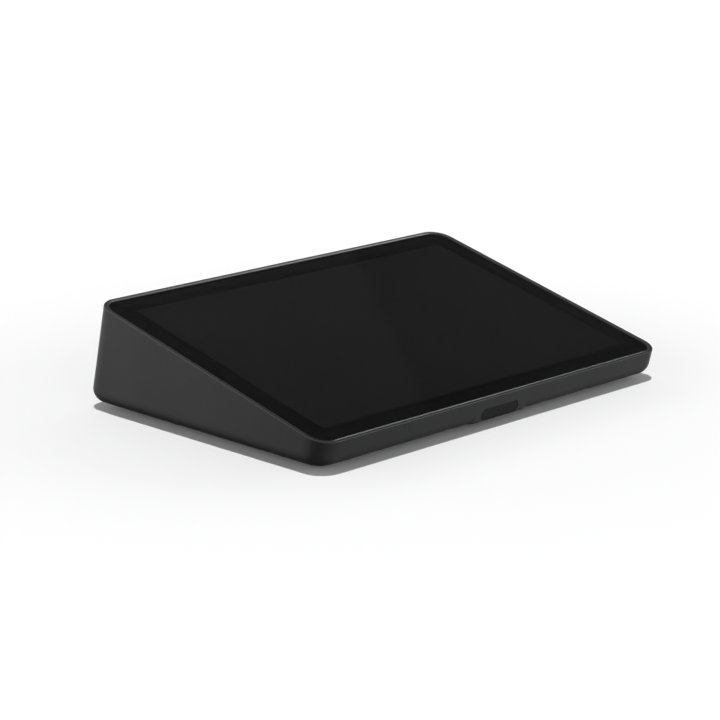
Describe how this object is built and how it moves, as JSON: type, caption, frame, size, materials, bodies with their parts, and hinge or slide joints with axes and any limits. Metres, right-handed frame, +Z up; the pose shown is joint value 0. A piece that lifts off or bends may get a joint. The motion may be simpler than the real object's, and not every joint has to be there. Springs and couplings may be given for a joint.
{
  "type": "tabletop touch console",
  "caption": "Black wedge-shaped tabletop console with a tilted glass touch screen, a sensor window in its front wall, a down-firing speaker and a cable bay behind a hinged underside door.",
  "frame": {"origin": "middle of the footprint, on the table that the feet stand on", "axes": "+X to the right across the screen, +Y to the back, towards the tall side, +Z up"},
  "size_m": [0.242, 0.1672, 0.0541],
  "materials": {
    "black_housing": "moulded, very fine matte texture",
    "display_frame_plastic": "moulded, plain",
    "cover_glass": "etched anti-glare front",
    "glass_mask": "screen-printed black ink",
    "screen_panel": "dark switched-off panel",
    "sensor_window": "smoked, smooth",
    "gasket_foam": "closed-cell foam",
    "pressed_steel": "zinc plated",
    "screw_steel": "black oxide",
    "circuit_board": "solder mask",
    "chip_package": "moulded epoxy",
    "flex_circuit": "polyimide film",
    "backplate_aluminium": "pressed sheet, plain",
    "backlight_white": "reflective white moulding",
    "thermal_pad": "silicone",
    "port_shell": "nickel plated",
    "reset_button": "moulded",
    "insert_brass": "knurled",
    "magnet_nickel": "nickel plated",
    "magnet_ferrite": "sintered ferrite",
    "speaker_paper": "coated paper",
    "speaker_cloth": "woven dust cloth",
    "foot_rubber": "soft silicone rubber"
  },
  "bodies": {
    "base": {"antenna_left": "flex_circuit", "antenna_right": "flex_circuit", "audio_jack": "chip_package", "backlight_tray": "backlight_white", "backplate_screws": "screw_steel", "base_weight_left": "pressed_steel", "base_weight_right": "pressed_steel", "board_screws": "screw_steel", "cable_clamp": "black_housing", "catch_magnets": "magnet_nickel", "clamp_screws": "screw_steel", "cover_glass": "cover_glass", "display_backplate": "backplate_aluminium", "display_frame": "display_frame_plastic", "display_ribbon": "flex_circuit", "foot_back_left": "foot_rubber", "foot_back_right": "foot_rubber", "foot_front_left": "foot_rubber", "foot_front_right": "foot_rubber", "frame_screws": "screw_steel", "glass_gasket": "gasket_foam", "glass_mask": "glass_mask", "hdmi_port": "port_shell", "heat_spreader": "backplate_aluminium", "housing": "black_housing", "lcd_panel": "screen_panel", "lock_plate": "pressed_steel", "main_board": "circuit_board", "mounting_inserts": "insert_brass", "power_board": "circuit_board", "power_board_screws": "screw_steel", "processor_shield": "pressed_steel", "reset_switch": "chip_package", "ribbon_connectors": "chip_package", "sensor_board": "circuit_board", "sensor_chip": "chip_package", "sensor_ribbon": "flex_circuit", "sensor_shroud": "gasket_foam", "sensor_window": "sensor_window", "speaker_basket": "pressed_steel", "speaker_box": "display_frame_plastic", "speaker_gasket": "gasket_foam", "speaker_lid": "display_frame_plastic", "speaker_magnet": "magnet_ferrite", "speaker_mesh": "speaker_cloth", "speaker_screws": "screw_steel", "thermal_pad": "thermal_pad", "touch_ribbon": "flex_circuit", "usb_a_port": "port_shell", "usb_c_port": "port_shell", "weight_screws": "screw_steel"},
    "door": {"bay_door": "black_housing", "door_magnets": "magnet_nickel"},
    "reset": {"reset_button": "reset_button"},
    "cone": {"speaker_cone": "speaker_paper"}
  },
  "joints": [
    {"name": "door_hinge", "type": "hinge", "parent": "base", "child": "door", "pos_m": [0, 0.03531, 0.0045], "axis": [-1, 0, 0], "range_deg": [0, 90]},
    {"name": "reset_press", "type": "slide", "parent": "base", "child": "reset", "axis": [0, -1, 0], "range_m": [0, 0.0008], "stiffness_N_per_m": 300, "springref_m": -0.0005},
    {"name": "cone_stroke", "type": "slide", "parent": "base", "child": "cone", "axis": [0, 0, 1], "range_m": [-0.0006, 0.0006], "stiffness_N_per_m": 1200}
  ]
}
